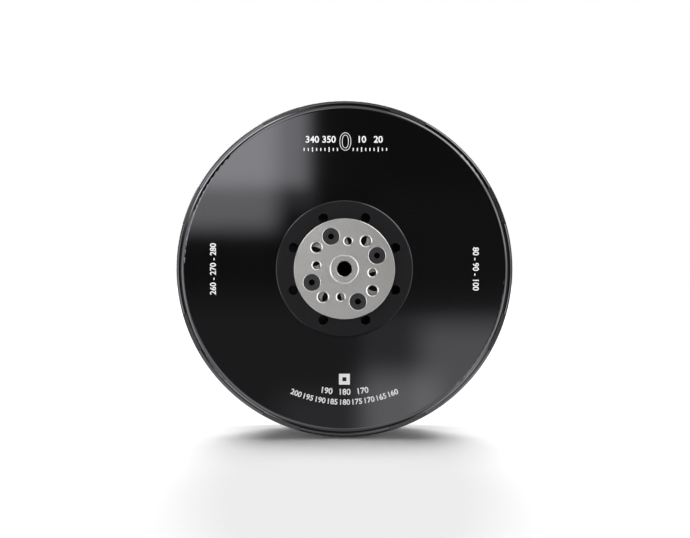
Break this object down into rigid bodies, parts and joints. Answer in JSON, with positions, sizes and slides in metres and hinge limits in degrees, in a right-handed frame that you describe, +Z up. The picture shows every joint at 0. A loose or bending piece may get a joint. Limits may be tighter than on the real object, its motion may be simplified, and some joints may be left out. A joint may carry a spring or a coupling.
{
  "type": "brushless outrunner motor",
  "caption": "Flat outrunner motor: a black disc-shaped rotor with a silver output hub turns on two ball bearings around a wound stator on a rear mounting base.",
  "frame": {"origin": "centre of the rear mounting face, on the spin axis", "axes": "-Y along the spin axis out of the output hub, +Y out of the mounting face, +Z up, +X to the right seen from the hub"},
  "size_m": [0.147, 0.055, 0.147],
  "materials": {
    "cover_black": "gloss black anodised",
    "hub_metal": "fine bead blasted",
    "black_oxide": "black oxide",
    "flux_ring_black": "black coated",
    "magnet_plating": "nickel plated",
    "shaft_steel": "ground",
    "spring_steel": "satin",
    "bearing_steel": "polished",
    "cage_plastic": "natural polyamide",
    "shield_steel": "satin",
    "tube_aluminium": "turned",
    "base_black": "satin black anodised",
    "grommet_rubber": "matt",
    "lamination_steel": "varnished laminations",
    "insulator_plastic": "moulded",
    "winding_copper": "enamelled copper wire",
    "link_sleeve": "braided sleeve"
  },
  "bodies": {
    "stator": {"stator_base": "base_black", "core_carrier": "base_black", "lead_outlet_plate": "base_black", "bearing_tube": "tube_aluminium", "lead_grommet": "grommet_rubber", "stator_core": "lamination_steel", "front_end_insulator": "insulator_plastic", "rear_end_insulator": "insulator_plastic", "windings_phase_a": "winding_copper", "windings_phase_b": "winding_copper", "windings_phase_c": "winding_copper", "phase_link_a": "link_sleeve", "phase_link_b": "link_sleeve", "phase_link_c": "link_sleeve", "front_bearing_outer_race": "bearing_steel", "rear_bearing_outer_race": "bearing_steel", "front_bearing_shields": "shield_steel", "rear_bearing_shields": "shield_steel", "preload_washer": "spring_steel"},
    "rotor": {"rotor_cover": "cover_black", "output_hub": "hub_metal", "hub_screws": "black_oxide", "flux_ring": "flux_ring_black", "rotor_magnets": "magnet_plating", "motor_shaft": "shaft_steel", "shaft_shim": "spring_steel", "shaft_circlip": "spring_steel", "front_bearing_inner_race": "bearing_steel", "rear_bearing_inner_race": "bearing_steel"},
    "front_cage": {"front_bearing_cage": "cage_plastic", "front_bearing_balls": "bearing_steel"},
    "rear_cage": {"rear_bearing_cage": "cage_plastic", "rear_bearing_balls": "bearing_steel"}
  },
  "joints": [
    {"name": "rotor_spin", "type": "hinge", "parent": "stator", "child": "rotor", "pos_m": [0, -0.0345, 0], "axis": [0, -1, 0], "continuous": true},
    {"name": "front_cage_spin", "type": "hinge", "parent": "stator", "child": "front_cage", "pos_m": [0, -0.0345, 0], "axis": [0, -1, 0], "continuous": true},
    {"name": "rear_cage_spin", "type": "hinge", "parent": "stator", "child": "rear_cage", "pos_m": [0, -0.0065, 0], "axis": [0, -1, 0], "continuous": true}
  ],
  "couplings": [
    {"joint": "front_cage_spin", "follows": "rotor_spin", "ratio": 0.4077},
    {"joint": "rear_cage_spin", "follows": "rotor_spin", "ratio": 0.4077}
  ]
}
